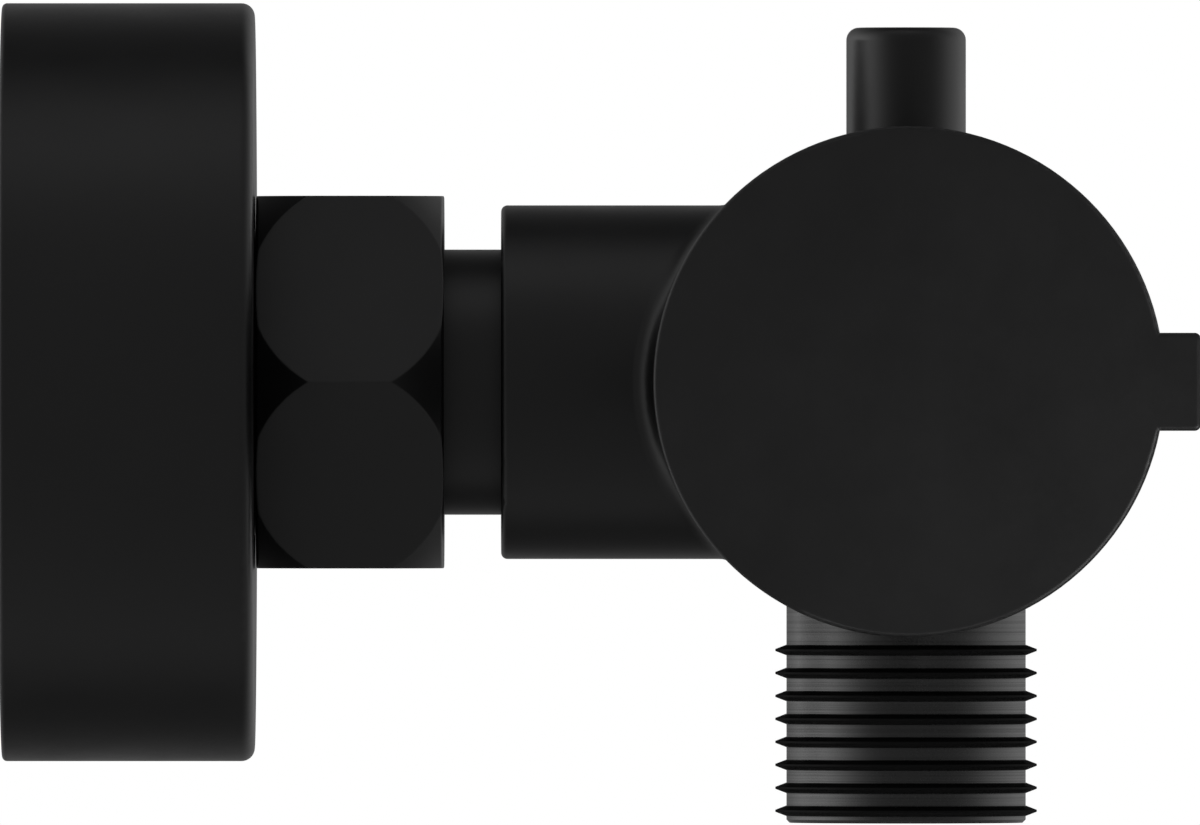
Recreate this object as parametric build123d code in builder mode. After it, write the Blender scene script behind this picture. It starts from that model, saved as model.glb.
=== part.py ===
from build123d import *
import os

# Lockshield valve, three-axis pattern, in millimetres.
# The origin is the centre of the wall face on the inlet axis. +X runs out from the wall through the
# union nut to the body, +Z is up, and the cap faces -Y.
# Three axes meet in the body: the inlet along X, the spindle along -Y, and the outlet and the air
# vent along Z, which lie a little in front of the inlet.
# Threads are parallel rings on the male part and a plain bore at the crest in the female part, so
# that a screwed part can turn and travel without cutting into its mate.

# Gaps
FIT = 0.05  # radial gap of a running fit or a thread
SLIP = 0.1  # smallest gap between faces that move apart
LOOSE = 0.2  # gap between parts that only pass by each other
BREAK = 0.25  # broken edge of a turned part

# Places of the axes
BODY_X = 71.5  # spindle axis, from the wall
OUTLET_S = 8.5  # outlet and vent axis, in front of the inlet axis

# Wall flange
FLANGE_R = 30.0
FLANGE_DEPTH = 20.0
FLANGE_WALL = 1.4
FLANGE_HOLE_R = 13.7
FLANGE_ROUND = 1.05
GASKET_R = 25.5
GASKET_DEPTH = 3.0

# Compression joint for a 15 mm pipe: nut, olive and connector, along X
SOCKET_R = 7.55
SOCKET_END_X = 19.0
PIPE_NUT_START_X = 2.0
PIPE_NUT_END_X = 12.0
PIPE_NUT_AF = 24.0
OLIVE_START_X = 3.6
OLIVE_END_X = 8.6
OLIVE_R = 8.5
OLIVE_LIP = 0.25
OLIVE_CONE = 1.0
CONNECTOR_START_X = 7.4
CONNECTOR_HEX_X = 13.5
CONNECTOR_HEX_END_X = 18.0
CONNECTOR_HEX_AF = 27.0
CONNECTOR_END_X = 28.5
PIPE_THREAD_R = 10.45

# Pipe threads G1/2 and G3/4 share one pitch
PITCH = 1.814
RING_BASE = 0.84
RING_LAND = 0.16
G34_CREST_R = 13.22
G34_CORE_R = 12.06
G12_CREST_R = 10.33
G12_CORE_R = 9.45

# Fine threads, as shares of their pitch
FINE_BASE = 0.6
FINE_LAND = 0.1
FINE_DEPTH = 0.65

# Union nut: a hexagon with domed ends, so that each flat is bounded by two arcs
UNION_AF = 29.45
UNION_START_X = 20.12
UNION_END_X = 35.0
UNION_LIP = 1.8
UNION_END_R = 14.6
DOME_R = 17.9
DOME_CENTRE = 9.8  # from the nut's end face
DOME_DEPTH = 4.2
DOME_EDGE = 0.2

# Inlet tail
UNION_GASKET = 2.0
TAIL_COLLAR = 2.1
TAIL_COLLAR_R = 12.46
NECK_R = 10.5
TAIL_BORE_R = 6.5
TAIL_KEY_AF = 14.0
TAIL_KEY_DEPTH = 6.0
TAIL_THREAD_X = 43.4
TAIL_END_X = 50.0
SEAL_GROOVE_X = 41.2
SEAL_GROOVE = 1.8
SEAL_GROOVE_R = 11.9

# Valve body. Distances S run along the spindle axis towards the cap, from the inlet axis.
BOSS_START_X = 39.5
BOSS_HOLE_END_X = 51.0
INLET_BORE_END_X = 55.0
BOSS_R = 14.0
BOSS_FILLET = 1.8
BOSS_ROUND = 0.5
BODY_R = 19.8
BODY_BACK_S = -17.0
BODY_FRONT_S = 24.0
BODY_BACK_ROUND = 1.6
BODY_FRONT_ROUND = 0.3
PASSAGE_R = 4.5
PASSAGE_LENGTH = 16.0
BACK_BORE_R = 9.0
BACK_BORE_S = -13.0
CHAMBER_R = 11.5
CHAMBER_S = 3.0
BONNET_S = 17.0
BONNET_THREAD_R = 14.0
BONNET_PITCH = 1.5

# Seat and plug
SEAT_START_S = -2.0
SEAT_BORE_R = 5.5
SEAT_FLANGE_R = 10.9
SEAT_FLANGE_S = 4.3
SEAT_LIP_S = 5.0
SEAT_SLOT = 1.6
WASHER_S = SEAT_LIP_S + SLIP
WASHER_END_S = WASHER_S + 2.0
WASHER_R = 7.8
SCREW_HEAD_R = 3.2
SCREW_HEAD = 1.6
SCREW_SHOULDER_R = 2.0
SCREW_R = 1.5
PLUG_S = 5.9
PLUG_R = 8.8
PLUG_SHOULDER_S = 9.5
PLUG_STEM_S = 11.0
PLUG_STEM_R = 7.4
PLUG_STEM_END_S = 16.5
PLUG_FLATS = 13.6  # across the two flats that keep the stem from turning

# Spindle, on the plug's end
BUTTON_S = 12.3
BUTTON_R = 4.9
BUTTON_END_S = 14.0
CLIP_START_S = 14.1
CLIP_END_S = 15.1
BUTTON_NECK_R = 2.9
SPINDLE_CORE_R = 4.2
SPINDLE_THREAD_R = 5.0
SPINDLE_PITCH = 1.0
SPINDLE_FIRST_RING_S = 20.4
SPINDLE_THREAD_END_S = 23.0
SPINDLE_R = 4.0
SPINDLE_END_S = 39.6
SPINDLE_KEY_AF = 5.0
SPINDLE_KEY_DEPTH = 5.0
SPINDLE_SEALS_S = (27.3, 29.1)
SPINDLE_GROOVE = 1.5
SPINDLE_GROOVE_R = 2.8

# Headwork
NOSE_S = 15.2
NOSE_R = 10.7
STEM_BORE_END_S = 19.8
THREAD_BORE_END_S = 26.5
SEAL_BORE_END_S = 33.0
HEADWORK_AF = 30.0
HEADWORK_HEX_END_S = 29.5
HEADWORK_NECK_R = 9.5
HEADWORK_END_S = 37.0
HEADWORK_SEAL_R = 0.8
HEADWORK_RECESS_R = 15.3
HEADWORK_RECESS = 1.7
PACKING_END_S = 34.6
GLAND_R = 6.0
GLAND_AF = 14.0
GLAND_END_S = 39.0

# Outlet tail. Distances D run down from the inlet axis.
SPOT_FACE_D = 16.5
SHANK_START_D = 11.0
SHANK_R = 8.0
SHANK_THREAD_END_D = 14.6
OUTLET_FIRST_RING_D = 21.16
OUTLET_RINGS = 8
OUTLET_END_D = 34.8
OUTLET_BORE_R = 5.5
OUTLET_KEY_AF = 12.0
OUTLET_KEY_DEPTH = 8.0
OUTLET_SEAL_R = 0.68

# Air vent. Heights H run up from the inlet axis.
VENT_R = 4.725
VENT_TOP_H = 28.0
VENT_ROUND = 1.0
VENT_SHOULDER_H = 18.0
VENT_SHANK_R = 3.95
VENT_SHANK_H = 12.6
VENT_THREAD_END_H = 16.4
VENT_PITCH = 0.8
VENT_PORT_R = 1.5
VENT_SEAT_H = 16.0
VENT_SEAT_R = 0.8
VENT_CHANNEL_R = 1.9
VENT_THREAD_H = 19.6
VENT_SCREW_H = 20.6
VENT_SCREW_END_H = 25.2
VENT_SCREW_R = 2.5
VENT_SLOT = 0.8
VENT_SLOT_DEPTH = 1.2
VENT_TIP_R = 1.5
VENT_TIP_NECK_R = 0.9
WEEP_H = 19.9
WEEP_R = 0.6
VENT_SEAL_R = 0.52

# Cap
CAP_R = 20.0
CAP_WALL = 1.6
CAP_REAR_S = 24.4
CAP_FRONT_S = 45.6
CAP_FACE = 1.8
TAB_REACH = 22.85
TAB_HEIGHT = 7.67
TAB_DEPTH = 8.0
TAB_CORNER = 0.5
LEDGE_R = 17.2
LEDGE_S = 35.4
RETAINER_S = 31.6
RETAINER_END_S = 32.8
RETAINER_R = 17.4
RETAINER_GROOVE_R = 19.0
CARRIER_R = 11.7
CARRIER_BORE_R = 9.75
CARRIER_START_S = 30.0
CARRIER_END_S = 40.2
CARRIER_DISC_R = 18.0
CARRIER_DISC_S = 33.2
CARRIER_DISC_END_S = 35.2
GRIP_S = 35.8
GRIP_GROOVE_R = 11.0
GRIP_SEAL_R = 0.7

# Working planes. In each, the first sketch coordinate runs along the axis and the second is the
# radius, so a turned part is drawn as (along, radius) and spun about its axis.
INLET = Plane.XY
SPINDLE = Plane(origin=(BODY_X, 0, 0), x_dir=(0, -1, 0), z_dir=(0, 0, 1))
OUTLET = Plane(origin=(BODY_X, -OUTLET_S, 0), x_dir=(0, 0, -1), z_dir=(0, -1, 0))
VENT = Plane(origin=(BODY_X, -OUTLET_S, 0), x_dir=(0, 0, 1), z_dir=(0, 1, 0))


def axis_of(plane):
    """The turning axis of a working plane."""
    return Axis(plane.origin, plane.x_dir)


def across(plane, along):
    """The plane square to a working plane's axis, at a distance along it."""
    start = plane.origin + plane.x_dir * along
    return Plane(origin=start, x_dir=plane.y_dir, z_dir=plane.x_dir)


def rings(first, count, pitch, core_r, crest_r, base, land):
    """Outline points of a row of thread rings, from the middle of the first ring on."""
    points = []
    for turn in range(count):
        middle = first + turn * pitch
        points += [(middle - base / 2, core_r), (middle - land / 2, crest_r)]
        points += [(middle + land / 2, crest_r), (middle + base / 2, core_r)]
    return points


def pipe_rings(first, count, core_r, crest_r):
    """The rings of a pipe thread."""
    return rings(first, count, PITCH, core_r, crest_r, RING_BASE, RING_LAND)


def fine_core(crest_r, pitch):
    """The groove radius of a fine thread."""
    return crest_r - FINE_DEPTH * pitch


def fine_rings(first, count, pitch, crest_r):
    """The rings of a fine thread."""
    core_r = fine_core(crest_r, pitch)
    return rings(first, count, pitch, core_r, crest_r, FINE_BASE * pitch, FINE_LAND * pitch)


def turned(plane, outline, mode=Mode.ADD):
    """Spin a closed (along, radius) outline about the plane's axis."""
    with BuildSketch(plane) as profile:
        with BuildLine():
            Polyline(*outline, close=True)
        make_face()
    revolve(profile.sketch, axis=axis_of(plane), mode=mode)


def tube(plane, start, end, outer_r, inner_r, mode=Mode.ADD):
    """A plain ring or sleeve."""
    turned(plane, [(start, inner_r), (start, outer_r), (end, outer_r), (end, inner_r)], mode)


def bore(plane, start, end, radius):
    """A round hole along the plane's axis."""
    tube(plane, start, end, radius, 0, Mode.SUBTRACT)


def hexagon(plane, start, end, across_flats, mode=Mode.ADD, turn=0):
    """A hexagonal prism along the plane's axis."""
    with BuildSketch(across(plane, start)) as profile:
        RegularPolygon(across_flats / 2, 6, major_radius=False, rotation=turn)
    extrude(profile.sketch, amount=end - start, mode=mode)


def chamfered_hexagon(plane, start, end, across_flats, turn=0):
    """A hexagon whose corners are turned down at 30 degrees at both ends."""
    hexagon(plane, start, end, across_flats, turn=turn)
    end_r = across_flats / 2 - LOOSE
    corner_r = across_flats * 0.6
    drop = (corner_r - end_r) * 0.577
    blank = [(start, 0), (start, end_r), (start + drop, corner_r)]
    blank += [(end - drop, corner_r), (end, end_r), (end, 0)]
    turned(plane, blank, Mode.INTERSECT)


def seal_ring(plane, along, inner_r, section_r):
    """A round-section ring."""
    with BuildSketch(plane) as profile:
        with Locations((along, inner_r + section_r)):
            Circle(section_r)
    revolve(profile.sketch, axis=axis_of(plane))


def cross_slot(plane, along, length, width, depth):
    """A screwdriver slot cut square across a turned part, from a distance along its axis."""
    with BuildSketch(across(plane, along)) as profile:
        Rectangle(length, width)
    extrude(profile.sketch, amount=depth, mode=Mode.SUBTRACT)


def rim_edges(part):
    """All round edges of a part."""
    return part.edges().filter_by(GeomType.CIRCLE)


def save(part, name):
    """Label a finished piece and write its file."""
    part.label = name
    export_step(part, f"parts/{name}.step")


os.makedirs("parts", exist_ok=True)

# ---------------------------------------------------------------- wall flange

with BuildPart() as flange_cover:
    tube(INLET, 0, FLANGE_DEPTH, FLANGE_R, FLANGE_HOLE_R)
    tube(INLET, 0, FLANGE_DEPTH - FLANGE_WALL, FLANGE_R - FLANGE_WALL, 0, Mode.SUBTRACT)
    front_rims = rim_edges(flange_cover).group_by(Axis.X)[-1].sort_by(SortBy.RADIUS)
    fillet(front_rims[-1], FLANGE_ROUND)
    fillet(front_rims[0], 0.3)
    rear_rims = rim_edges(flange_cover).group_by(Axis.X)[0].sort_by(SortBy.RADIUS)
    fillet(rear_rims[-1], 0.4)
save(flange_cover.part, "flange_cover")

with BuildPart() as flange_gasket:
    tube(INLET, 0, GASKET_DEPTH, FLANGE_R - FLANGE_WALL - FIT, GASKET_R)
save(flange_gasket.part, "flange_gasket")

# ---------------------------------------------------------------- compression joint
# The olive sits between two cones, one in the nut and one in the connector's mouth.

with BuildPart() as compression_nut:
    chamfered_hexagon(INLET, PIPE_NUT_START_X, PIPE_NUT_END_X, PIPE_NUT_AF, turn=30)
    bore(INLET, CONNECTOR_START_X - 1.4, PIPE_NUT_END_X, PIPE_THREAD_R + FIT)
    throat_r = SOCKET_R + LOOSE
    cone_start = OLIVE_START_X - 0.3
    throat = [(PIPE_NUT_START_X, 0), (PIPE_NUT_START_X, throat_r), (cone_start, throat_r)]
    throat += [(OLIVE_START_X + OLIVE_CONE, OLIVE_R + LOOSE), (PIPE_NUT_END_X, OLIVE_R + LOOSE)]
    throat += [(PIPE_NUT_END_X, 0)]
    turned(INLET, throat, Mode.SUBTRACT)
save(compression_nut.part, "compression_nut")

with BuildPart() as olive:
    barrel = [(OLIVE_START_X, SOCKET_R), (OLIVE_START_X, SOCKET_R + OLIVE_LIP)]
    barrel += [(OLIVE_START_X + OLIVE_CONE, OLIVE_R), (OLIVE_END_X - OLIVE_CONE, OLIVE_R)]
    barrel += [(OLIVE_END_X, SOCKET_R + OLIVE_LIP), (OLIVE_END_X, SOCKET_R)]
    turned(INLET, barrel)
save(olive.part, "olive")

with BuildPart() as pipe_connector:
    core_r = PIPE_THREAD_R - 0.95
    mouth_end = CONNECTOR_START_X + 1.9
    stem = [(mouth_end, SOCKET_R), (CONNECTOR_START_X, OLIVE_R + 0.35)]
    stem += [(CONNECTOR_START_X, core_r)]
    stem += pipe_rings(CONNECTOR_START_X + 0.6, 3, core_r, PIPE_THREAD_R)
    stem += [(CONNECTOR_HEX_X, core_r), (CONNECTOR_HEX_X, G34_CORE_R)]
    stem += pipe_rings(CONNECTOR_HEX_END_X + 1.2, 5, G34_CORE_R, G34_CREST_R)
    stem += [(CONNECTOR_END_X, G34_CORE_R), (CONNECTOR_END_X, TAIL_BORE_R)]
    stem += [(SOCKET_END_X, TAIL_BORE_R), (SOCKET_END_X, SOCKET_R)]
    turned(INLET, stem)
    with BuildSketch(across(INLET, CONNECTOR_HEX_X)):
        RegularPolygon(CONNECTOR_HEX_AF / 2, 6, major_radius=False)
        Circle(G34_CORE_R - 1, mode=Mode.SUBTRACT)
    extrude(amount=CONNECTOR_HEX_END_X - CONNECTOR_HEX_X)
save(pipe_connector.part, "pipe_connector")

# ---------------------------------------------------------------- union

GASKET_END_X = CONNECTOR_END_X + UNION_GASKET
COLLAR_END_X = GASKET_END_X + TAIL_COLLAR
LIP_X = UNION_END_X - UNION_LIP
UNION_MIDDLE_X = (UNION_START_X + UNION_END_X) / 2

with BuildPart() as union_gasket:
    tube(INLET, CONNECTOR_END_X, GASKET_END_X, G34_CORE_R - LOOSE, TAIL_BORE_R + LOOSE)
save(union_gasket.part, "union_gasket")

with BuildPart() as slip_ring:
    tube(INLET, COLLAR_END_X + FIT, LIP_X - FIT, TAIL_COLLAR_R + LOOSE, NECK_R + FIT)
save(slip_ring.part, "slip_ring")


def dome(depth):
    """A point of the union nut's domed rear end, at a depth from its face."""
    radius = (DOME_R**2 - (DOME_CENTRE - depth) ** 2) ** 0.5
    return (UNION_START_X + depth, radius)


with BuildPart() as union_nut:
    hexagon(INLET, UNION_START_X, UNION_END_X, UNION_AF)
    with BuildSketch(INLET):
        with BuildLine():
            rear_dome = ThreePointArc(dome(DOME_EDGE), dome(DOME_DEPTH / 2), dome(DOME_DEPTH))
            front_dome = mirror(rear_dome, about=Plane.YZ.offset(UNION_MIDDLE_X))
            Line(rear_dome @ 1, front_dome @ 1)
            Polyline(rear_dome @ 0, (UNION_START_X, UNION_END_R), (UNION_START_X, 0))
            Polyline(front_dome @ 0, (UNION_END_X, UNION_END_R), (UNION_END_X, 0))
            Line((UNION_START_X, 0), (UNION_END_X, 0))
        make_face()
    revolve(axis=Axis.X, mode=Mode.INTERSECT)
    bore(INLET, UNION_START_X, LIP_X, G34_CREST_R + FIT)
    bore(INLET, LIP_X, UNION_END_X, NECK_R + SLIP)
save(union_nut.part, "union_nut")

with BuildPart() as inlet_tail:
    core_r = NECK_R - 1.0
    tail = [(GASKET_END_X, TAIL_BORE_R), (GASKET_END_X, TAIL_COLLAR_R)]
    tail += [(COLLAR_END_X, TAIL_COLLAR_R), (COLLAR_END_X, NECK_R)]
    tail += [(TAIL_THREAD_X, NECK_R), (TAIL_THREAD_X, core_r)]
    tail += pipe_rings(TAIL_THREAD_X + 1.2, 3, core_r, NECK_R)
    tail += [(TAIL_END_X, core_r), (TAIL_END_X, TAIL_BORE_R)]
    turned(INLET, tail)
    hexagon(INLET, GASKET_END_X, GASKET_END_X + TAIL_KEY_DEPTH, TAIL_KEY_AF, Mode.SUBTRACT)
save(inlet_tail.part, "inlet_tail")

with BuildPart() as inlet_tail_seal:
    seal_ring(INLET, SEAL_GROOVE_X + SEAL_GROOVE / 2, NECK_R + FIT, 0.65)
save(inlet_tail_seal.part, "inlet_tail_seal")

# ---------------------------------------------------------------- valve body

with BuildPart() as valve_body:
    tube(SPINDLE, BODY_BACK_S, BODY_FRONT_S, BODY_R, 0)
    body_rims = rim_edges(valve_body).sort_by(Axis.Y)
    fillet(body_rims[-1], BODY_BACK_ROUND)
    fillet(body_rims[0], BODY_FRONT_ROUND)
    tube(INLET, BOSS_START_X, BODY_X, BOSS_R, 0)
    root = valve_body.edges().filter_by_position(Axis.X, BOSS_START_X + 2, BODY_X)
    root = root.filter_by(GeomType.CIRCLE, reverse=True)
    fillet(root.filter_by(GeomType.LINE, reverse=True), BOSS_FILLET)
    fillet(rim_edges(valve_body).sort_by(Axis.X)[0], BOSS_ROUND)
    # inlet: threaded boss, seal groove, bore, and the slanted passage to the back bore
    bore(INLET, BOSS_START_X, BOSS_HOLE_END_X, NECK_R + FIT)
    bore(INLET, SEAL_GROOVE_X, SEAL_GROOVE_X + SEAL_GROOVE, SEAL_GROOVE_R)
    bore(INLET, BOSS_HOLE_END_X, INLET_BORE_END_X, TAIL_BORE_R)
    passage = Plane(origin=(BOSS_HOLE_END_X + 1, 0.5, 0), x_dir=(0, 0, 1), z_dir=(12, 7, 0))
    with BuildSketch(passage):
        Circle(PASSAGE_R)
    extrude(amount=PASSAGE_LENGTH, mode=Mode.SUBTRACT)
    # spindle: back bore, seat step, chamber, headwork thread and seal recess
    bore(SPINDLE, BACK_BORE_S, CHAMBER_S, BACK_BORE_R)
    bore(SPINDLE, CHAMBER_S, BODY_FRONT_S, CHAMBER_R)
    bore(SPINDLE, BONNET_S, BODY_FRONT_S, BONNET_THREAD_R + FIT)
    bore(SPINDLE, BODY_FRONT_S - HEADWORK_RECESS, BODY_FRONT_S, HEADWORK_RECESS_R)
    # outlet: spot face, seal recess, thread and port
    bore(OUTLET, SPOT_FACE_D, BODY_R + 1, G12_CORE_R + 0.8)
    bore(OUTLET, SPOT_FACE_D - 1.6, SPOT_FACE_D, G12_CORE_R)
    bore(OUTLET, SHANK_START_D - SLIP, SPOT_FACE_D, SHANK_R + FIT)
    bore(OUTLET, CHAMBER_R - 4, SHANK_START_D, OUTLET_BORE_R)
    # vent: spot face, seal recess, thread and port
    bore(VENT, VENT_SHOULDER_H, BODY_R + 1, VENT_R + 0.6)
    bore(VENT, VENT_SHOULDER_H - 1.3, VENT_SHOULDER_H, VENT_SHANK_R + 1.2)
    bore(VENT, VENT_SHANK_H - LOOSE, VENT_SHOULDER_H, VENT_SHANK_R + FIT)
    bore(VENT, CHAMBER_R - 1, VENT_SHANK_H, VENT_PORT_R)
save(valve_body.part, "valve_body")

# ---------------------------------------------------------------- seat

with BuildPart() as seat_ring:
    crest_r = BACK_BORE_R - FIT
    core_r = fine_core(crest_r, 1.0)
    seat = [(SEAT_START_S, SEAT_BORE_R), (SEAT_START_S, core_r)]
    seat += fine_rings(SEAT_START_S + 0.8, 4, 1.0, crest_r)
    seat += [(CHAMBER_S, core_r), (CHAMBER_S, SEAT_FLANGE_R), (SEAT_FLANGE_S, SEAT_FLANGE_R)]
    seat += [(SEAT_FLANGE_S, SEAT_BORE_R + 1.6), (SEAT_LIP_S, SEAT_BORE_R + 0.9)]
    seat += [(SEAT_LIP_S, SEAT_BORE_R)]
    turned(SPINDLE, seat)
    # two slots for the seat key
    with BuildSketch(across(SPINDLE, SEAT_FLANGE_S - 0.7)):
        with PolarLocations(SEAT_FLANGE_R, 2):
            Rectangle(6.0, SEAT_SLOT)
    extrude(amount=SEAT_LIP_S, mode=Mode.SUBTRACT)
save(seat_ring.part, "seat_ring")

# ---------------------------------------------------------------- plug

with BuildPart() as seat_washer:
    tube(SPINDLE, WASHER_S, WASHER_END_S, WASHER_R, SCREW_SHOULDER_R + FIT)
    fillet(rim_edges(seat_washer).sort_by(SortBy.RADIUS)[-2:], 0.2)
save(seat_washer.part, "seat_washer")

with BuildPart() as valve_plug:
    plug = [(PLUG_S, 0), (PLUG_S, PLUG_R - 0.4), (PLUG_S + 0.4, PLUG_R), (PLUG_SHOULDER_S, PLUG_R)]
    plug += [(PLUG_STEM_S, PLUG_STEM_R), (PLUG_STEM_END_S, PLUG_STEM_R), (PLUG_STEM_END_S, 0)]
    turned(SPINDLE, plug)
    bore(SPINDLE, PLUG_S, WASHER_END_S, WASHER_R + FIT)
    bore(SPINDLE, WASHER_END_S, PLUG_STEM_S - 0.8, SCREW_R + FIT)
    bore(SPINDLE, BUTTON_S - SLIP, PLUG_STEM_END_S, BUTTON_R + 0.5)
    with BuildSketch(across(SPINDLE, PLUG_STEM_S)):
        Circle(PLUG_STEM_R + 1)
        Rectangle(PLUG_FLATS, 3 * PLUG_STEM_R, mode=Mode.SUBTRACT)
    extrude(amount=PLUG_STEM_END_S - PLUG_STEM_S, mode=Mode.SUBTRACT)
save(valve_plug.part, "valve_plug")

with BuildPart() as washer_screw:
    head_s = WASHER_S - SCREW_HEAD
    tip_s = PLUG_STEM_S - 1.2
    screw = [(head_s, 0), (head_s, SCREW_HEAD_R - 0.6), (head_s + 0.4, SCREW_HEAD_R)]
    screw += [(WASHER_S, SCREW_HEAD_R), (WASHER_S, SCREW_SHOULDER_R)]
    screw += [(WASHER_END_S, SCREW_SHOULDER_R), (WASHER_END_S, SCREW_R), (tip_s, SCREW_R)]
    screw += [(tip_s, 0)]
    turned(SPINDLE, screw)
    cross_slot(SPINDLE, head_s, 3 * SCREW_HEAD_R, 0.8, 0.8)
save(washer_screw.part, "washer_screw")

with BuildPart() as plug_clip:
    tube(SPINDLE, CLIP_START_S, CLIP_END_S, BUTTON_R + 0.45, BUTTON_NECK_R + SLIP)
    with BuildSketch(across(SPINDLE, CLIP_START_S)):
        with Locations((BUTTON_R, 0)):
            Rectangle(2 * BUTTON_NECK_R, BUTTON_NECK_R)
    extrude(amount=CLIP_END_S - CLIP_START_S, mode=Mode.SUBTRACT)
save(plug_clip.part, "plug_clip")

# ---------------------------------------------------------------- spindle

with BuildPart() as spindle:
    rod = [(BUTTON_S, 0), (BUTTON_S, BUTTON_R), (BUTTON_END_S, BUTTON_R)]
    rod += [(BUTTON_END_S, BUTTON_NECK_R), (CLIP_END_S + SLIP, BUTTON_NECK_R)]
    rod += [(CLIP_END_S + SLIP, SPINDLE_CORE_R)]
    rod += rings(
        SPINDLE_FIRST_RING_S, 3, SPINDLE_PITCH, SPINDLE_CORE_R, SPINDLE_THREAD_R, FINE_BASE, FINE_LAND
    )
    rod += [(SPINDLE_THREAD_END_S, SPINDLE_CORE_R), (SPINDLE_THREAD_END_S + 0.4, SPINDLE_R)]
    for middle in SPINDLE_SEALS_S:
        groove_start = middle - SPINDLE_GROOVE / 2
        groove_end = middle + SPINDLE_GROOVE / 2
        rod += [(groove_start, SPINDLE_R), (groove_start, SPINDLE_GROOVE_R)]
        rod += [(groove_end, SPINDLE_GROOVE_R), (groove_end, SPINDLE_R)]
    rod += [(SPINDLE_END_S - 0.5, SPINDLE_R), (SPINDLE_END_S, SPINDLE_R - 0.5), (SPINDLE_END_S, 0)]
    turned(SPINDLE, rod)
    key_s = SPINDLE_END_S - SPINDLE_KEY_DEPTH
    hexagon(SPINDLE, key_s, SPINDLE_END_S, SPINDLE_KEY_AF, Mode.SUBTRACT)
save(spindle.part, "spindle")

with BuildPart() as spindle_seal_inner:
    seal_ring(SPINDLE, SPINDLE_SEALS_S[0], SPINDLE_GROOVE_R + 0.02, 0.61)
save(spindle_seal_inner.part, "spindle_seal_inner")

with BuildPart() as spindle_seal_outer:
    seal_ring(SPINDLE, SPINDLE_SEALS_S[1], SPINDLE_GROOVE_R + 0.02, 0.61)
save(spindle_seal_outer.part, "spindle_seal_outer")

# ---------------------------------------------------------------- headwork

with BuildPart() as headwork:
    core_r = fine_core(BONNET_THREAD_R, BONNET_PITCH)
    shell = [(NOSE_S, PLUG_STEM_R + FIT), (NOSE_S, NOSE_R)]
    shell += [(BONNET_S + LOOSE, NOSE_R), (BONNET_S + LOOSE, core_r)]
    shell += fine_rings(BONNET_S + 1.0, 3, BONNET_PITCH, BONNET_THREAD_R)
    shell += [(BODY_FRONT_S, core_r), (BODY_FRONT_S, HEADWORK_AF / 2 - 0.6)]
    shell += [(HEADWORK_HEX_END_S, HEADWORK_AF / 2 - 0.6), (HEADWORK_HEX_END_S, HEADWORK_NECK_R)]
    shell += [(HEADWORK_END_S - 0.6, HEADWORK_NECK_R), (HEADWORK_END_S, HEADWORK_NECK_R - 0.6)]
    shell += [(HEADWORK_END_S, GLAND_R + FIT), (SEAL_BORE_END_S, GLAND_R + FIT)]
    shell += [(SEAL_BORE_END_S, SPINDLE_R + FIT), (THREAD_BORE_END_S, SPINDLE_R + FIT)]
    shell += [(THREAD_BORE_END_S, SPINDLE_THREAD_R + FIT)]
    shell += [(STEM_BORE_END_S, SPINDLE_THREAD_R + FIT), (STEM_BORE_END_S, PLUG_STEM_R + FIT)]
    turned(SPINDLE, shell)
    with BuildSketch(across(SPINDLE, BODY_FRONT_S)):
        RegularPolygon(HEADWORK_AF / 2, 6, major_radius=False, rotation=30)
        Circle(BONNET_THREAD_R, mode=Mode.SUBTRACT)
    extrude(amount=HEADWORK_HEX_END_S - BODY_FRONT_S)
    # the hexagon's front corners are turned down
    trim = [(NOSE_S, 0), (NOSE_S, HEADWORK_AF), (HEADWORK_HEX_END_S - 1.2, 17.5)]
    trim += [(HEADWORK_HEX_END_S, HEADWORK_AF / 2 - 0.1), (HEADWORK_HEX_END_S, 12.0)]
    trim += [(HEADWORK_END_S, 12.0), (HEADWORK_END_S, 0)]
    turned(SPINDLE, trim, Mode.INTERSECT)
save(headwork.part, "headwork")

with BuildPart() as headwork_seal:
    seal_s = BODY_FRONT_S - HEADWORK_RECESS / 2
    seal_ring(SPINDLE, seal_s, fine_core(BONNET_THREAD_R, BONNET_PITCH) + FIT, HEADWORK_SEAL_R)
save(headwork_seal.part, "headwork_seal")

with BuildPart() as packing_ring:
    tube(SPINDLE, SEAL_BORE_END_S, PACKING_END_S, GLAND_R, SPINDLE_R + FIT)
save(packing_ring.part, "packing_ring")

with BuildPart() as gland_nut:
    core_r = fine_core(GLAND_R, 1.0)
    chamfered_hexagon(SPINDLE, HEADWORK_END_S, GLAND_END_S, GLAND_AF)
    neck = [(PACKING_END_S, 0), (PACKING_END_S, core_r)]
    neck += fine_rings(PACKING_END_S + 0.6, 2, 1.0, GLAND_R)
    neck += [(HEADWORK_END_S, core_r), (HEADWORK_END_S, 0)]
    turned(SPINDLE, neck)
    bore(SPINDLE, PACKING_END_S, GLAND_END_S, SPINDLE_R + FIT)
save(gland_nut.part, "gland_nut")

# ---------------------------------------------------------------- outlet tail

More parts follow.
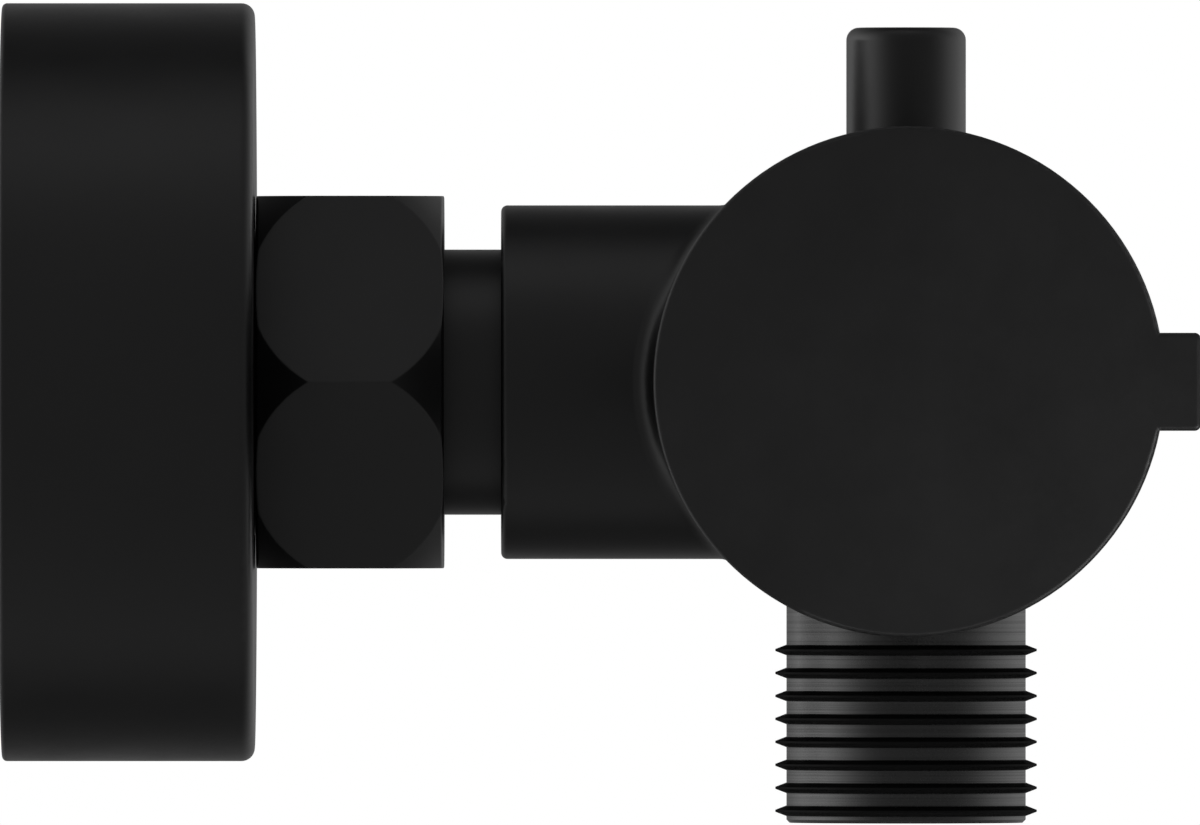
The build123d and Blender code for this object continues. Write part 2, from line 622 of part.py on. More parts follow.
with BuildPart() as outlet_tail:
    core_r = fine_core(SHANK_R, 1.0)
    nipple = [(SHANK_START_D, OUTLET_BORE_R), (SHANK_START_D, core_r)]
    nipple += fine_rings(SHANK_START_D + 0.8, 3, 1.0, SHANK_R)
    nipple += [(SHANK_THREAD_END_D, core_r), (SHANK_THREAD_END_D, SHANK_R)]
    nipple += [(SPOT_FACE_D, SHANK_R), (SPOT_FACE_D, G12_CORE_R)]
    nipple += pipe_rings(OUTLET_FIRST_RING_D, OUTLET_RINGS, G12_CORE_R, G12_CREST_R)
    nipple += [(OUTLET_END_D - BREAK, G12_CORE_R), (OUTLET_END_D, G12_CORE_R - BREAK)]
    nipple += [(OUTLET_END_D, OUTLET_BORE_R)]
    turned(OUTLET, nipple)
    key_d = OUTLET_END_D - OUTLET_KEY_DEPTH
    hexagon(OUTLET, key_d, OUTLET_END_D, OUTLET_KEY_AF, Mode.SUBTRACT)
save(outlet_tail.part, "outlet_tail")

with BuildPart() as outlet_tail_seal:
    seal_ring(OUTLET, SPOT_FACE_D - 0.8, SHANK_R + FIT, OUTLET_SEAL_R - FIT / 2)
save(outlet_tail_seal.part, "outlet_tail_seal")

# ---------------------------------------------------------------- air vent

with BuildPart() as vent_body:
    core_r = fine_core(VENT_SHANK_R, VENT_PITCH)
    pin = [(VENT_SHANK_H, 0), (VENT_SHANK_H, core_r)]
    pin += fine_rings(VENT_SHANK_H + 0.7, 4, VENT_PITCH, VENT_SHANK_R)
    pin += [(VENT_THREAD_END_H, core_r), (VENT_THREAD_END_H, VENT_SHANK_R)]
    pin += [(VENT_SHOULDER_H, VENT_SHANK_R), (VENT_SHOULDER_H, VENT_R)]
    pin += [(VENT_TOP_H, VENT_R), (VENT_TOP_H, 0)]
    turned(VENT, pin)
    fillet(rim_edges(vent_body).group_by(Axis.Z)[-1], VENT_ROUND)
    bore(VENT, VENT_SHANK_H, VENT_SEAT_H, VENT_SEAT_R)
    bore(VENT, VENT_SEAT_H, VENT_THREAD_H, VENT_CHANNEL_R)
    bore(VENT, VENT_THREAD_H, VENT_TOP_H, VENT_SCREW_R + FIT)
    # weep hole at the back, where the air comes out
    weep = Plane(origin=(BODY_X, -OUTLET_S, WEEP_H), x_dir=(1, 0, 0), z_dir=(0, 1, 0))
    with BuildSketch(weep):
        Circle(WEEP_R)
    extrude(amount=VENT_R + 1, mode=Mode.SUBTRACT)
save(vent_body.part, "vent_body")

with BuildPart() as vent_body_seal:
    seal_ring(VENT, VENT_SHOULDER_H - 0.65, VENT_SHANK_R + FIT, VENT_SEAL_R)
save(vent_body_seal.part, "vent_body_seal")

with BuildPart() as vent_screw:
    core_r = fine_core(VENT_SCREW_R, VENT_PITCH)
    bolt = [(VENT_SCREW_H, 0), (VENT_SCREW_H, core_r)]
    bolt += fine_rings(VENT_SCREW_H + 0.8, 4, VENT_PITCH, VENT_SCREW_R)
    bolt += [(VENT_SCREW_END_H - 0.8, core_r), (VENT_SCREW_END_H - 0.6, VENT_SCREW_R)]
    bolt += [(VENT_SCREW_END_H - 0.2, VENT_SCREW_R), (VENT_SCREW_END_H, VENT_SCREW_R - 0.2)]
    bolt += [(VENT_SCREW_END_H, 0)]
    turned(VENT, bolt)
    bore(VENT, VENT_SCREW_H, VENT_SCREW_H + 1.6, VENT_TIP_NECK_R + FIT)
    slot_h = VENT_SCREW_END_H - VENT_SLOT_DEPTH
    cross_slot(VENT, slot_h, 3 * VENT_SCREW_R, VENT_SLOT, 2 * VENT_SLOT_DEPTH)
save(vent_screw.part, "vent_screw")

with BuildPart() as vent_tip:
    shoulder_h = VENT_SCREW_H - LOOSE
    needle = [(VENT_SEAT_H + 0.15, 0), (VENT_SEAT_H + 0.9, VENT_TIP_R), (shoulder_h, VENT_TIP_R)]
    needle += [(shoulder_h, VENT_TIP_NECK_R), (VENT_SCREW_H + 1.4, VENT_TIP_NECK_R)]
    needle += [(VENT_SCREW_H + 1.4, 0)]
    turned(VENT, needle)
save(vent_tip.part, "vent_tip")

# ---------------------------------------------------------------- cap

with BuildPart() as cap_carrier:
    hub = [(CARRIER_START_S, CARRIER_BORE_R), (CARRIER_START_S, CARRIER_R)]
    hub += [(CARRIER_DISC_S, CARRIER_R), (CARRIER_DISC_S, CARRIER_DISC_R)]
    hub += [(CARRIER_DISC_END_S, CARRIER_DISC_R), (CARRIER_DISC_END_S, CARRIER_R)]
    hub += [(CARRIER_END_S, CARRIER_R), (CARRIER_END_S, CARRIER_BORE_R)]
    turned(SPINDLE, hub)
    tube(SPINDLE, GRIP_S - 1, GRIP_S + 1, GRIP_GROOVE_R, CARRIER_BORE_R - 1, Mode.SUBTRACT)
    # six slots lighten the disc
    with BuildSketch(across(SPINDLE, CARRIER_DISC_S)):
        with PolarLocations((CARRIER_R + CARRIER_DISC_R) / 2, 6):
            SlotOverall(5.0, 3.0, rotation=90)
    extrude(amount=CARRIER_DISC_END_S - CARRIER_DISC_S, mode=Mode.SUBTRACT)
save(cap_carrier.part, "cap_carrier")

with BuildPart() as grip_ring:
    seal_ring(SPINDLE, GRIP_S, HEADWORK_NECK_R + FIT, GRIP_SEAL_R - FIT / 2)
save(grip_ring.part, "grip_ring")

with BuildPart() as shield_cap:
    tube(SPINDLE, CAP_REAR_S, CAP_FRONT_S, CAP_R, 0)
    # the finger tab is flush with the front face
    tab_s = CAP_FRONT_S - TAB_DEPTH
    with BuildSketch(Plane.XZ.offset(tab_s)):
        with Locations((BODY_X + TAB_REACH / 2, 0)):
            Rectangle(TAB_REACH, TAB_HEIGHT)
    extrude(amount=TAB_DEPTH)
    fillet(shield_cap.edges().filter_by(Axis.Y).sort_by(Axis.X)[-2:], TAB_CORNER)
    fillet(shield_cap.faces().sort_by(Axis.Y)[0].edges(), BREAK)
    fillet(rim_edges(shield_cap).group_by(Axis.Y)[-1], BREAK)
    bore(SPINDLE, CAP_REAR_S, LEDGE_S, CAP_R - CAP_WALL)
    bore(SPINDLE, CAP_REAR_S, CAP_FRONT_S - CAP_FACE, LEDGE_R)
    groove_start = RETAINER_S - SLIP
    groove_end = RETAINER_END_S + SLIP
    tube(SPINDLE, groove_start, groove_end, RETAINER_GROOVE_R, LEDGE_R, Mode.SUBTRACT)
save(shield_cap.part, "shield_cap")

with BuildPart() as cap_retainer:
    tube(SPINDLE, RETAINER_S, RETAINER_END_S, RETAINER_GROOVE_R - SLIP, RETAINER_R)
    with BuildSketch(across(SPINDLE, RETAINER_S)):
        with Locations((RETAINER_R, 0)):
            Rectangle(6.0, 6.0)
    extrude(amount=RETAINER_END_S - RETAINER_S, mode=Mode.SUBTRACT)
save(cap_retainer.part, "cap_retainer")
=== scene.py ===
"""Materials, light and camera for a compact black lockshield valve with its wall plate.

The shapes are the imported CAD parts. This script gives each one a procedural finish, then adds the
floor, the light and the camera. All lengths are in metres.
"""

import math

import bpy
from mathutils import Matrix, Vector


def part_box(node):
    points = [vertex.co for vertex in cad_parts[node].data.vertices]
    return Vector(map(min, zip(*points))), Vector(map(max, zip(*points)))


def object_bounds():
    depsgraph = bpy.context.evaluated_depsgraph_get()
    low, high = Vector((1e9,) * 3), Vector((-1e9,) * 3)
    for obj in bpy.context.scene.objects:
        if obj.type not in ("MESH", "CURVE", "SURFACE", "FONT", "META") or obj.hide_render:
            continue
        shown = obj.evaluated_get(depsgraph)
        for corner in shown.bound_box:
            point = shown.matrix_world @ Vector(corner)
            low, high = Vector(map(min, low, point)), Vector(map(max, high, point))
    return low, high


# Directions and centres that the turned parts were machined about.
INLET = ("X", (0.0, 0.0, 0.0))
SPINDLE = ("Y", (0.0715, 0.0, 0.0))
OUTLET = ("Z", (0.0715, -0.0085, 0.0))
ACROSS = {"X": (0, 1, 1), "Y": (1, 0, 1), "Z": (1, 1, 0)}
ALONG = {"X": (1, 0, 0), "Y": (0, 1, 0), "Z": (0, 0, 1)}

# Camera: a lens and sensor in millimetres, then the width of the view, its move to the right, the
# depth at which it is that wide, and the near and far limits as shares of the camera's distance.
LENS_MM = 1000.0
SENSOR_HEIGHT_MM = 16.75
SENSOR_WIDTH_MM = 31.9
FRAME_ASPECT = 825.0 / 1200.0
FRAME_WIDTH = 0.09444
FRAME_MOVE = 0.00015
SHARP_DEPTH = -0.0228
CLIP_SHARES = (0.1, 4.0)

# Floor: a pale disc, and how far below the valve it lies.
FLOOR_DROP = 0.037
FLOOR_RADIUS = 1.0
FLOOR_SIDES = 128
FLOOR_GRAIN = 60.0
FLOOR_COLOURS = ((0.86, 0.86, 0.86), (0.90, 0.90, 0.90))
FLOOR_SPECULAR = 0.1

# Lamps: place, size across and power. The overhead one brightens the floor, the fill one the cap's
# lower right, and the kick one the side of the outlet that looks at the flange.
OVERHEAD_HEIGHT = 1.5
OVERHEAD_SIZE = 1.6
OVERHEAD_ENERGY = 42.0
FILL_OFFSET = (0.11, -0.20, -0.09)
FILL_SIZE = 0.10
FILL_ENERGY = 0.21
KICK_GAP = 0.0002
KICK_SIZE = 0.06
KICK_ENERGY = 0.008

# The studio: a dim back, a lighter front, and softboxes given as the direction that each shines
# from, its brightness, and how narrow it is. The front starts and ends at two cosines.
WHITE = (1.0, 1.0, 1.0, 1.0)
BACK_LEVEL = 0.03
FRONT_LEVEL = 0.235
FRONT_STARTS = -0.36
FRONT_ENDS = 0.02
SOFTBOXES = (
    ((-0.99, 0.12, 0.0), 1.55, 3.6),
    ((0.91, 0.41, 0.0), 0.84, 4.0),
    ((0.0, -0.22, 0.97), 0.17, 16.0),
    ((0.0, 0.2, -1.0), 0.05, 3.0),
    ((0.0, 1.0, 0.0), 0.20, 7.0),
    ((0.5, 0.64, 0.58), 0.14, 24.0),
    ((-0.5, 0.64, 0.58), 0.14, 24.0),
)

# The part of its range that a noise keeps to, and the cosines of the turn of the surface at which
# an edge starts to show and shows fully.
SPREAD = (0.3, 0.7)
EDGE_TURN = (0.995, 0.86)
EDGE_SAMPLES = 6

# The numbers with names that end in _GRAIN, _PEEL and the like are features in a metre.
# Black paint, by material slot. Its rubbed edge colour is lighter than the paint: partly wear,
# partly a painted edge highlight, lightest on the cap.
BLACKS = {
    "matte_black": dict(
        rough=0.33,
        specular=0.50,
        edge_radius=0.00022,
        wear_and_edge_highlight=(0.014, 0.014, 0.0145),
        relief=0.000004,
    ),
    "cap_black": dict(
        rough=0.36,
        specular=0.40,
        edge_radius=0.00030,
        wear_and_edge_highlight=(0.075, 0.075, 0.076),
        relief=0.000004,
    ),
    "thread_black": dict(
        rough=0.26,
        specular=0.85,
        edge_radius=0.00003,
        wear_and_edge_highlight=(0.002, 0.002, 0.002),
        relief=0.0000008,
    ),
}
PAINT = (0.0011, 0.0011, 0.0012)
DUSTY_PAINT = (0.0019, 0.0019, 0.0020)
PAINT_GRAIN = 4200.0
PAINT_PEEL = 620.0
PAINT_CLOUD = 48.0
PAINT_SMEAR = 140.0
GRAIN_HEIGHT = 0.18

# The outlet: the radii where its ridges start to take a painted shade, a matte near-black, and take
# it fully, and its tool marks.
THREAD_CORE = 0.00947
THREAD_CREST = 0.00960
RIDGE_SHADE_SHARE = 0.94
DULL_BLACK_AND_RIDGE_SHADE = (0.004, 0.004, 0.004, 1.0)
OUTLET_GROOVES = 5200.0
OUTLET_RELIEF = 0.000014
STREAK_STARTS = 0.46
STREAK_ENDS = 0.62
STREAK_SHARE = 0.30

# Bare metal, by material slot, and a ring of painted shade on the connector, in the gap at the
# flange's mouth.
METALS = {
    "brass": dict(colour=(0.64, 0.42, 0.14), stain=(0.33, 0.17, 0.05), rough=0.27),
    "nickel": dict(colour=(0.56, 0.54, 0.50), stain=(0.34, 0.31, 0.27), rough=0.24),
    "steel": dict(colour=(0.52, 0.52, 0.53), stain=(0.27, 0.26, 0.25), rough=0.30),
}
METAL_GROOVES = 9000.0
METAL_PATCHES = 210.0
METAL_SPECKS = 2600.0
METAL_EDGE = 0.00018
METAL_RELIEF = 0.0000035
TARNISH_SHARE = 0.7
GAP_SHADED_PART = "pipe_connector"
GAP_SHADE_PLACE = 0.02006
GAP_SHADE_REACH = 0.0006
GAP_SHADE = (0.006, 0.005, 0.004)
TURNED_ABOUT = {
    INLET: ("compression_nut", "olive", "pipe_connector"),
    SPINDLE: (
        "seat_ring",
        "valve_plug",
        "headwork",
        "gland_nut",
        "spindle",
        "washer_screw",
        "plug_clip",
    ),
    OUTLET: ("vent_screw", "vent_tip"),
}

# Rubber, by material slot.
RUBBERS = {
    "rubber": dict(colour=(0.012, 0.012, 0.013), bloom=(0.045, 0.043, 0.040), rough=0.62),
    "soft_rubber": dict(colour=(0.016, 0.016, 0.017), bloom=(0.060, 0.058, 0.055), rough=0.78),
}
RUBBER_SPECULAR = 0.35
RUBBER_SKIN = 3300.0
RUBBER_PATCHES = 190.0
RUBBER_EDGE = 0.00025
RUBBER_RELIEF = 0.00001

# Plastic, by material slot.
PLASTICS = {
    "white_plastic": dict(colour=(0.72, 0.71, 0.67), grime=(0.52, 0.49, 0.42), rough=0.38),
    "grey_plastic": dict(colour=(0.085, 0.087, 0.092), grime=(0.05, 0.05, 0.052), rough=0.46),
}
PLASTIC_TEXTURE = 2800.0
PLASTIC_CLOUD = 120.0
PLASTIC_EDGE = 0.0002
PLASTIC_RELIEF = 0.000006

# Fibre washer: how its strands are stretched, and its colours.
FIBRE_STRETCHES = ((0.3, 1.0, 4.0), (0.3, 4.0, 1.0))
FIBRE_STRANDS = 900.0
FIBRE_EDGE = 0.0002
FIBRE_RELIEF = 0.00002
FIBRE_COLOURS = ((0.16, 0.035, 0.02), (0.34, 0.10, 0.055))


def add(tree, kind, inputs, **settings):
    """A node with its settings made and its inputs set or linked."""
    node = tree.nodes.new(kind)
    for name, value in settings.items():
        setattr(node, name, value)
    for name, value in inputs.items():
        if isinstance(value, bpy.types.NodeSocket):
            tree.links.new(value, node.inputs[name])
        else:
            node.inputs[name].default_value = value
    return node


def noise(tree, where, scale, detail=2.0, roughness=0.5):
    """Grey noise from 0 to 1 with that many features in a metre."""
    inputs = {"Vector": where, "Scale": scale, "Detail": detail, "Roughness": roughness}
    return add(tree, "ShaderNodeTexNoise", inputs).outputs["Fac"]


def ramp(tree, value, low, high, to_low=0.0, to_high=1.0):
    """value taken from low..high to to_low..to_high, and held at its ends."""
    inputs = {
        "Value": value,
        "From Min": low,
        "From Max": high,
        "To Min": to_low,
        "To Max": to_high,
    }
    return add(tree, "ShaderNodeMapRange", inputs).outputs["Result"]


def maths(tree, operation, first, second):
    """One sum on two values."""
    node = add(tree, "ShaderNodeMath", {0: first, 1: second}, operation=operation)
    return node.outputs[0]


def vector(tree, operation, first, second):
    """One sum on two vectors."""
    return add(tree, "ShaderNodeVectorMath", {0: first, 1: second}, operation=operation)


def blend_colour(tree, share, first, second):
    """first turning into second by share. Each is a colour or the output of another node."""
    mix = add(tree, "ShaderNodeMix", {0: share}, data_type="RGBA")
    for socket, colour in ((mix.inputs[6], first), (mix.inputs[7], second)):
        if isinstance(colour, bpy.types.NodeSocket):
            tree.links.new(colour, socket)
        else:
            socket.default_value = (*colour, 1.0)
    return mix.outputs[2]


def bump(tree, height, depth, normal=None):
    """A normal that follows height, which stands for that depth in metres."""
    inputs = {"Height": height, "Strength": 1.0, "Distance": depth}
    if normal is not None:
        inputs["Normal"] = normal
    return add(tree, "ShaderNodeBump", inputs).outputs["Normal"]


def edges(tree, radius):
    """How much a point lies on an outer or inner edge, and the normal with that edge rounded."""
    bevel = add(tree, "ShaderNodeBevel", {"Radius": radius}, samples=EDGE_SAMPLES)
    rounded = bevel.outputs[0]
    flat = add(tree, "ShaderNodeNewGeometry", {}).outputs["Normal"]
    turned = vector(tree, "DOT_PRODUCT", rounded, flat).outputs["Value"]
    return ramp(tree, turned, *EDGE_TURN), rounded


def start(name):
    """A new material, its tree, its shader and the place on the part."""
    material = bpy.data.materials.new(name)
    material.use_nodes = True
    tree = material.node_tree
    shader = tree.nodes["Principled BSDF"]
    place = add(tree, "ShaderNodeTexCoord", {}).outputs["Object"]
    return material, tree, shader, place


def finish_shader(tree, shader, colour, rough, normal):
    """Links the three maps of a material to its shader."""
    tree.links.new(colour, shader.inputs["Base Color"])
    tree.links.new(rough, shader.inputs["Roughness"])
    tree.links.new(normal, shader.inputs["Normal"])


def turned_place(tree, place, axis):
    """Distance from an axis and distance along it, for a part turned about it."""
    letter, centre = axis
    arm = vector(tree, "SUBTRACT", place, centre).outputs[0]
    across = vector(tree, "MULTIPLY", arm, ACROSS[letter]).outputs[0]
    length = add(tree, "ShaderNodeVectorMath", {0: across}, operation="LENGTH")
    along = vector(tree, "DOT_PRODUCT", arm, ALONG[letter]).outputs["Value"]
    radius = length.outputs["Value"]
    both = add(tree, "ShaderNodeCombineXYZ", {"X": radius, "Y": along})
    return radius, both.outputs[0]


def coated(name, rough, specular, edge_radius, wear_and_edge_highlight, relief):
    """Black satin paint: a fine grain, a faint orange peel, hand marks, and edges rubbed lighter,
    partly wear and partly a painted edge highlight.
    """
    material, tree, shader, place = start(name)
    shader.inputs["Specular IOR Level"].default_value = specular
    grain = noise(tree, place, PAINT_GRAIN, 3.0, 0.6)
    peel = noise(tree, place, PAINT_PEEL, 2.0)
    cloud = noise(tree, place, PAINT_CLOUD, 4.0, 0.6)
    smear = noise(tree, place, PAINT_SMEAR, 5.0, 0.65)
    edge, rounded = edges(tree, edge_radius)
    # Edges take the lighter edge colour where the smear noise allows: partly wear, partly a painted
    # edge highlight.
    edge_wear_and_highlight_mask = maths(tree, "MULTIPLY", edge, ramp(tree, smear, 0.38, 0.66, 0.3, 0.9))
    body = blend_colour(tree, ramp(tree, cloud, *SPREAD), PAINT, DUSTY_PAINT)
    worn_and_highlit = blend_colour(tree, edge_wear_and_highlight_mask, body, wear_and_edge_highlight)
    uneven = ramp(tree, smear, *SPREAD, rough - 0.03, rough + 0.04)
    sparkle = maths(tree, "ADD", uneven, ramp(tree, grain, *SPREAD, -0.02, 0.02))
    lumps = maths(tree, "ADD", peel, maths(tree, "MULTIPLY", grain, GRAIN_HEIGHT))
    normal = bump(tree, lumps, relief, rounded)
    finish_shader(tree, shader, worn_and_highlit, sparkle, normal)
    return material


def threaded(material):
    """Adds tool marks and matte streaks round the outlet's core, and paints shade on its thread
    ridges as a matte near-black.
    """
    tree = material.node_tree
    shader = tree.nodes["Principled BSDF"]
    place = add(tree, "ShaderNodeTexCoord", {}).outputs["Object"]
    radius, groove_place = turned_place(tree, place, OUTLET)
    grooves = noise(tree, groove_place, OUTLET_GROOVES, 2.0, 0.7)
    smooth = shader.inputs["Normal"].links[0].from_socket
    tree.links.new(bump(tree, grooves, OUTLET_RELIEF, smooth), shader.inputs["Normal"])
    # The ridges are painted a matte near-black, a painted shade. The streaks follow the tool-mark
    # noise.
    dull = add(tree, "ShaderNodeBsdfDiffuse", {"Color": DULL_BLACK_AND_RIDGE_SHADE, "Roughness": 0.6})
    ridge_shade = ramp(tree, radius, THREAD_CORE, THREAD_CREST, 0.0, RIDGE_SHADE_SHARE)
    streak = ramp(tree, grooves, STREAK_STARTS, STREAK_ENDS, 0.0, STREAK_SHARE)
    streaks_and_ridge_shade = maths(tree, "MAXIMUM", ridge_shade, streak)
    inputs = {0: streaks_and_ridge_shade, 1: shader.outputs[0], 2: dull.outputs[0]}
    both = add(tree, "ShaderNodeMixShader", inputs)
    tree.links.new(both.outputs[0], tree.nodes["Material Output"].inputs["Surface"])


def machined(name, colour, stain, rough, axis):
    """Turned metal: tool marks round its axis, tarnish in patches and bright edges."""
    material, tree, shader, place = start(name)
    shader.inputs["Metallic"].default_value = 1.0
    _, groove_place = turned_place(tree, place, axis)
    grooves = noise(tree, groove_place, METAL_GROOVES, 2.0, 0.7)
    patches = noise(tree, place, METAL_PATCHES, 5.0, 0.62)
    specks = noise(tree, place, METAL_SPECKS, 2.0)
    edge, rounded = edges(tree, METAL_EDGE)
    tarnish = ramp(tree, patches, 0.46, 0.78, 0.0, TARNISH_SHARE)
    kept = maths(tree, "MULTIPLY", tarnish, ramp(tree, edge, 0.0, 1.0, 1.0, 0.15))
    tint = blend_colour(tree, kept, colour, stain)
    dull = ramp(tree, patches, 0.35, 0.75, rough - 0.05, rough + 0.16)
    streaked = maths(tree, "ADD", dull, ramp(tree, grooves, *SPREAD, -0.04, 0.06))
    height = maths(tree, "ADD", grooves, maths(tree, "MULTIPLY", specks, 0.3))
    normal = bump(tree, height, METAL_RELIEF, rounded)
    finish_shader(tree, shader, tint, streaked, normal)
    return material


def paint_gap_shade(material):
    """Paints a ring of shade on the connector, in the gap at the mouth of the wall flange."""
    tree = material.node_tree
    place = add(tree, "ShaderNodeTexCoord", {}).outputs["Object"]
    along = vector(tree, "DOT_PRODUCT", place, ALONG["X"]).outputs["Value"]
    inputs = {0: along, 1: GAP_SHADE_PLACE, 2: GAP_SHADE_REACH}
    near = add(tree, "ShaderNodeMath", inputs, operation="COMPARE").outputs[0]
    shader = tree.nodes["Principled BSDF"]
    clean = shader.inputs["Base Color"].links[0].from_socket
    tint = blend_colour(tree, near, clean, GAP_SHADE)
    tree.links.new(tint, shader.inputs["Base Color"])


def moulded_rubber(name, colour, bloom, rough):
    """Rubber: a pebbled skin with a pale bloom on its edges and in patches."""
    material, tree, shader, place = start(name)
    shader.inputs["Specular IOR Level"].default_value = RUBBER_SPECULAR
    skin = noise(tree, place, RUBBER_SKIN, 4.0, 0.65)
    patches = noise(tree, place, RUBBER_PATCHES, 4.0, 0.6)
    edge, rounded = edges(tree, RUBBER_EDGE)
    pale = maths(tree, "MAXIMUM", ramp(tree, patches, 0.5, 0.8, 0.0, 0.6), edge)
    shared = maths(tree, "MULTIPLY", pale, ramp(tree, skin, 0.35, 0.65, 0.35, 0.9))
    tint = blend_colour(tree, shared, colour, bloom)
    uneven = ramp(tree, skin, *SPREAD, rough - 0.06, rough + 0.08)
    finish_shader(tree, shader, tint, uneven, bump(tree, skin, RUBBER_RELIEF, rounded))
    return material


def moulded_plastic(name, colour, grime, rough):
    """Plastic: a faint spark-eroded texture, slow clouding and grime near the edges."""
    material, tree, shader, place = start(name)
    texture = noise(tree, place, PLASTIC_TEXTURE, 3.0, 0.6)
    cloud = noise(tree, place, PLASTIC_CLOUD, 4.0, 0.6)
    edge, rounded = edges(tree, PLASTIC_EDGE)
    dirt = ramp(tree, cloud, 0.52, 0.8, 0.0, 0.7)
    shared = maths(tree, "MAXIMUM", dirt, ramp(tree, edge, 0.0, 1.0, 0.0, 0.35))
    tint = blend_colour(tree, shared, colour, grime)
    uneven = ramp(tree, texture, *SPREAD, rough - 0.05, rough + 0.07)
    finish_shader(tree, shader, tint, uneven, bump(tree, texture, PLASTIC_RELIEF, rounded))
    return material


def pressed_fibre(name):
    """Red-brown fibre sheet: short crossed strands in a lighter binder."""
    material, tree, shader, place = start(name)
    strands = []
    for stretch in FIBRE_STRETCHES:
        laid = vector(tree, "MULTIPLY", place, stretch).outputs[0]
        strands.append(noise(tree, laid, FIBRE_STRANDS, 3.0, 0.6))
    weave = maths(tree, "MAXIMUM", *strands)
    _, rounded = edges(tree, FIBRE_EDGE)
    tint = blend_colour(tree, ramp(tree, weave, 0.42, 0.7), *FIBRE_COLOURS)
    uneven = ramp(tree, weave, *SPREAD, 0.68, 0.86)
    finish_shader(tree, shader, tint, uneven, bump(tree, weave, FIBRE_RELIEF, rounded))
    return material


def paint_nodes():
    """Gives every CAD part the finish of its material slot. Each turned metal part has its own."""
    axis_of = {part: axis for axis, parts in TURNED_ABOUT.items() for part in parts}
    shared = {}
    for slot_name, numbers in BLACKS.items():
        shared[slot_name] = coated(slot_name, **numbers)
    for slot_name, numbers in RUBBERS.items():
        shared[slot_name] = moulded_rubber(slot_name, **numbers)
    for slot_name, numbers in PLASTICS.items():
        shared[slot_name] = moulded_plastic(slot_name, **numbers)
    shared["fibre"] = pressed_fibre("fibre")
    threaded(shared["thread_black"])
    for part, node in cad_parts.items():
        slot_name = node.material_slots[0].material.name.split(".")[0]
        if slot_name in METALS:
            name = f"{slot_name}_{part}"
            finish = machined(name, axis=axis_of[part], **METALS[slot_name])
        else:
            finish = shared[slot_name]
        # The connector gets a ring of painted shade where it shows through the gap at the flange.
        if part == GAP_SHADED_PART:
            paint_gap_shade(finish)
        node.material_slots[0].material = finish


def light_world():
    """A white surround for the camera, and soft boxes round a dim room for the parts."""
    world = bpy.data.worlds.new("studio")
    bpy.context.scene.world = world
    world.use_nodes = True
    tree = world.node_tree
    tree.nodes.clear()
    heading = add(tree, "ShaderNodeTexCoord", {}).outputs["Generated"]
    front = vector(tree, "DOT_PRODUCT", heading, (0.0, -1.0, 0.0)).outputs["Value"]
    level = ramp(tree, front, FRONT_STARTS, FRONT_ENDS, BACK_LEVEL, FRONT_LEVEL)
    for direction, brightness, narrowness in SOFTBOXES:
        aim = tuple(Vector(direction).normalized())
        facing = vector(tree, "DOT_PRODUCT", heading, aim).outputs["Value"]
        lobe = maths(tree, "POWER", maths(tree, "MAXIMUM", facing, 0.0), narrowness)
        level = maths(tree, "ADD", level, maths(tree, "MULTIPLY", lobe, brightness))
    room = add(tree, "ShaderNodeBackground", {"Color": WHITE, "Strength": level})
    surround = add(tree, "ShaderNodeBackground", {"Color": WHITE, "Strength": 1.0})
    seen = add(tree, "ShaderNodeLightPath", {}).outputs["Is Camera Ray"]
    inputs = {0: seen, 1: room.outputs[0], 2: surround.outputs[0]}
    both = add(tree, "ShaderNodeMixShader", inputs)
    add(tree, "ShaderNodeOutputWorld", {"Surface": both.outputs[0]})


def add_lamp(name, place, target, size, energy):
    """A round soft lamp aimed at a point."""
    data = bpy.data.lights.new(name, "AREA")
    data.shape = "DISK"
    data.size = size
    data.energy = energy
    lamp = bpy.data.objects.new(name, data)
    bpy.context.collection.objects.link(lamp)
    lamp.location = place
    lamp.rotation_euler = (target - place).to_track_quat("-Z", "Y").to_euler()
    lamp.visible_camera = False
    return lamp


def collect(name, *parts):
    """A collection of those CAD parts, for a lamp that lights or is shaded by them alone."""
    group = bpy.data.collections.new(name)
    for part in parts:
        group.objects.link(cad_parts[part])
    return group


def light_parts(centre):
    """A lamp overhead that leaves the gloss alone, and two small ones for one part each."""
    above = centre + Vector((0.0, 0.0, OVERHEAD_HEIGHT))
    overhead = add_lamp("overhead", above, centre, OVERHEAD_SIZE, OVERHEAD_ENERGY)
    overhead.visible_glossy = False

    cap_lo, cap_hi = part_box("shield_cap")
    face = Vector(((cap_lo.x + cap_hi.x) / 2, cap_lo.y, 0.0))
    fill = add_lamp("fill", face + Vector(FILL_OFFSET), face, FILL_SIZE, FILL_ENERGY)
    fill.light_linking.receiver_collection = collect("lit_by_fill", "shield_cap")

    _, flange_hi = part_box("flange_cover")
    front = Vector((flange_hi.x + KICK_GAP, 0.0, 0.0))
    ahead = front + Vector((1.0, 0.0, 0.0))
    kick = add_lamp("kick", front, ahead, KICK_SIZE, KICK_ENERGY)
    kick.light_linking.receiver_collection = collect("lit_by_kick", "outlet_tail")
    kick.light_linking.blocker_collection = collect(
        "shades_kick", "outlet_tail", "valve_body", "shield_cap"
    )


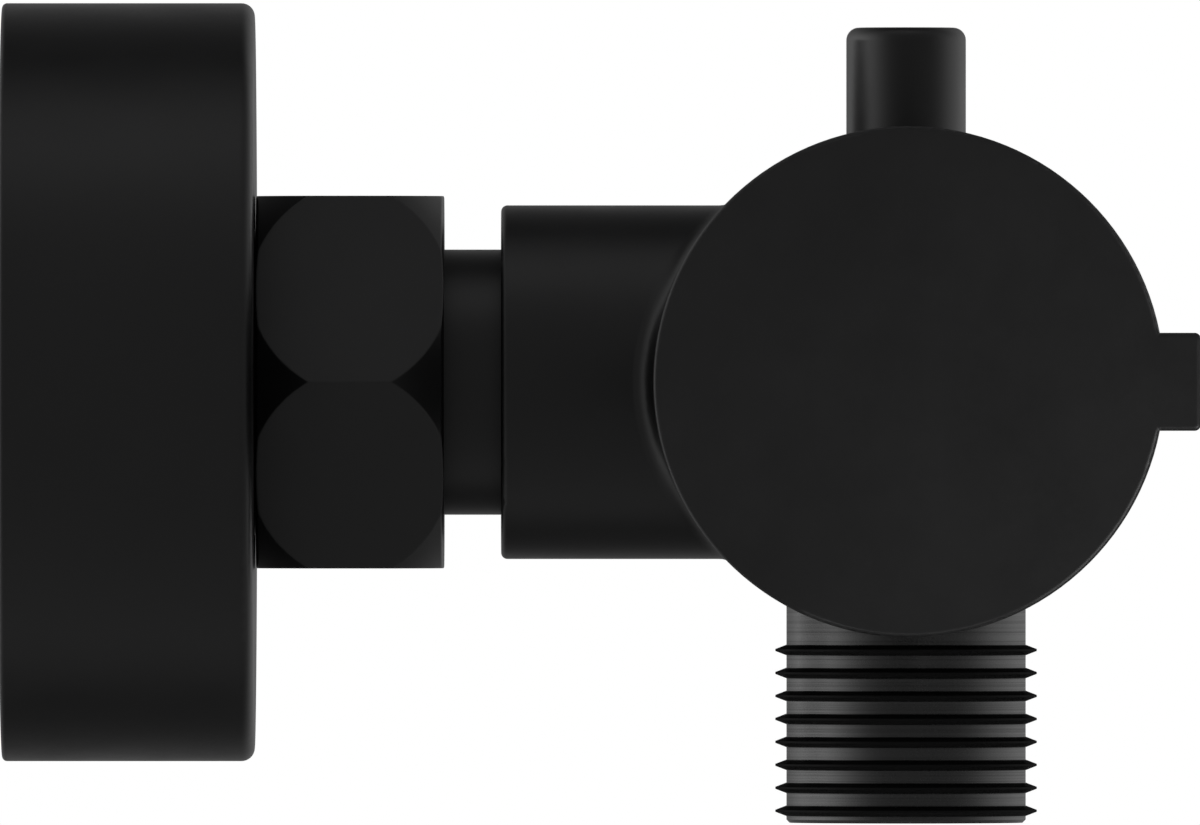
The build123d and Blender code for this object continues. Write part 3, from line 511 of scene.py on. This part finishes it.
def build_floor(centre, lowest):
    """A plain pale disc below the valve."""
    turns = [math.tau * side / FLOOR_SIDES for side in range(FLOOR_SIDES)]
    ring = [
        (
            centre.x + FLOOR_RADIUS * math.cos(turn),
            centre.y + FLOOR_RADIUS * math.sin(turn),
            lowest - FLOOR_DROP,
        )
        for turn in turns
    ]
    mesh = bpy.data.meshes.new("floor")
    mesh.from_pydata(ring, [], [list(range(FLOOR_SIDES))])
    floor = bpy.data.objects.new("floor", mesh)
    bpy.context.collection.objects.link(floor)
    material, tree, shader, place = start("floor")
    fine = noise(tree, place, FLOOR_GRAIN, 4.0)
    tint = blend_colour(tree, fine, *FLOOR_COLOURS)
    rough = ramp(tree, fine, *SPREAD, 0.75, 0.85)
    finish_shader(tree, shader, tint, rough, bump(tree, fine, 0.0001))
    shader.inputs["Specular IOR Level"].default_value = FLOOR_SPECULAR
    mesh.materials.append(material)
    floor.visible_glossy = False
    floor.visible_shadow = False


def aim_camera(middle):
    """A long lens square on to the cap, framed to the width of the valve.

    The sensor's height sets the view. Its width is wider than the picture needs, which keeps the
    other views of the valve within the camera's range.
    """
    data = bpy.data.cameras.new("camera")
    data.lens = LENS_MM
    data.sensor_fit = "VERTICAL"
    data.sensor_height = SENSOR_HEIGHT_MM
    data.sensor_width = SENSOR_WIDTH_MM
    distance = FRAME_WIDTH * FRAME_ASPECT * LENS_MM / SENSOR_HEIGHT_MM
    data.clip_start, data.clip_end = (distance * share for share in CLIP_SHARES)
    camera = bpy.data.objects.new("camera", data)
    bpy.context.collection.objects.link(camera)
    camera.location = (middle.x + FRAME_MOVE, SHARP_DEPTH - distance, middle.z)
    camera.rotation_euler = (math.pi / 2, 0.0, 0.0)
    bpy.context.scene.camera = camera


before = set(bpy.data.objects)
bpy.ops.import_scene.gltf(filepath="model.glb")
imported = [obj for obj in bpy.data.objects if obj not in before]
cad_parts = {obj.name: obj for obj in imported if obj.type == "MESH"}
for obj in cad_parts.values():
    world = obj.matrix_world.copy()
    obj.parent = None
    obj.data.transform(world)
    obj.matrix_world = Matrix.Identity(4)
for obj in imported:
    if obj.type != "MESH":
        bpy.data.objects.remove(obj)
cad_lo, cad_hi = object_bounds()
cad_middle = (cad_lo + cad_hi) / 2

paint_nodes()
light_world()
light_parts(cad_middle)
build_floor(cad_middle, cad_lo.z)
aim_camera(cad_middle)
bpy.context.scene.view_settings.view_transform = "Standard"
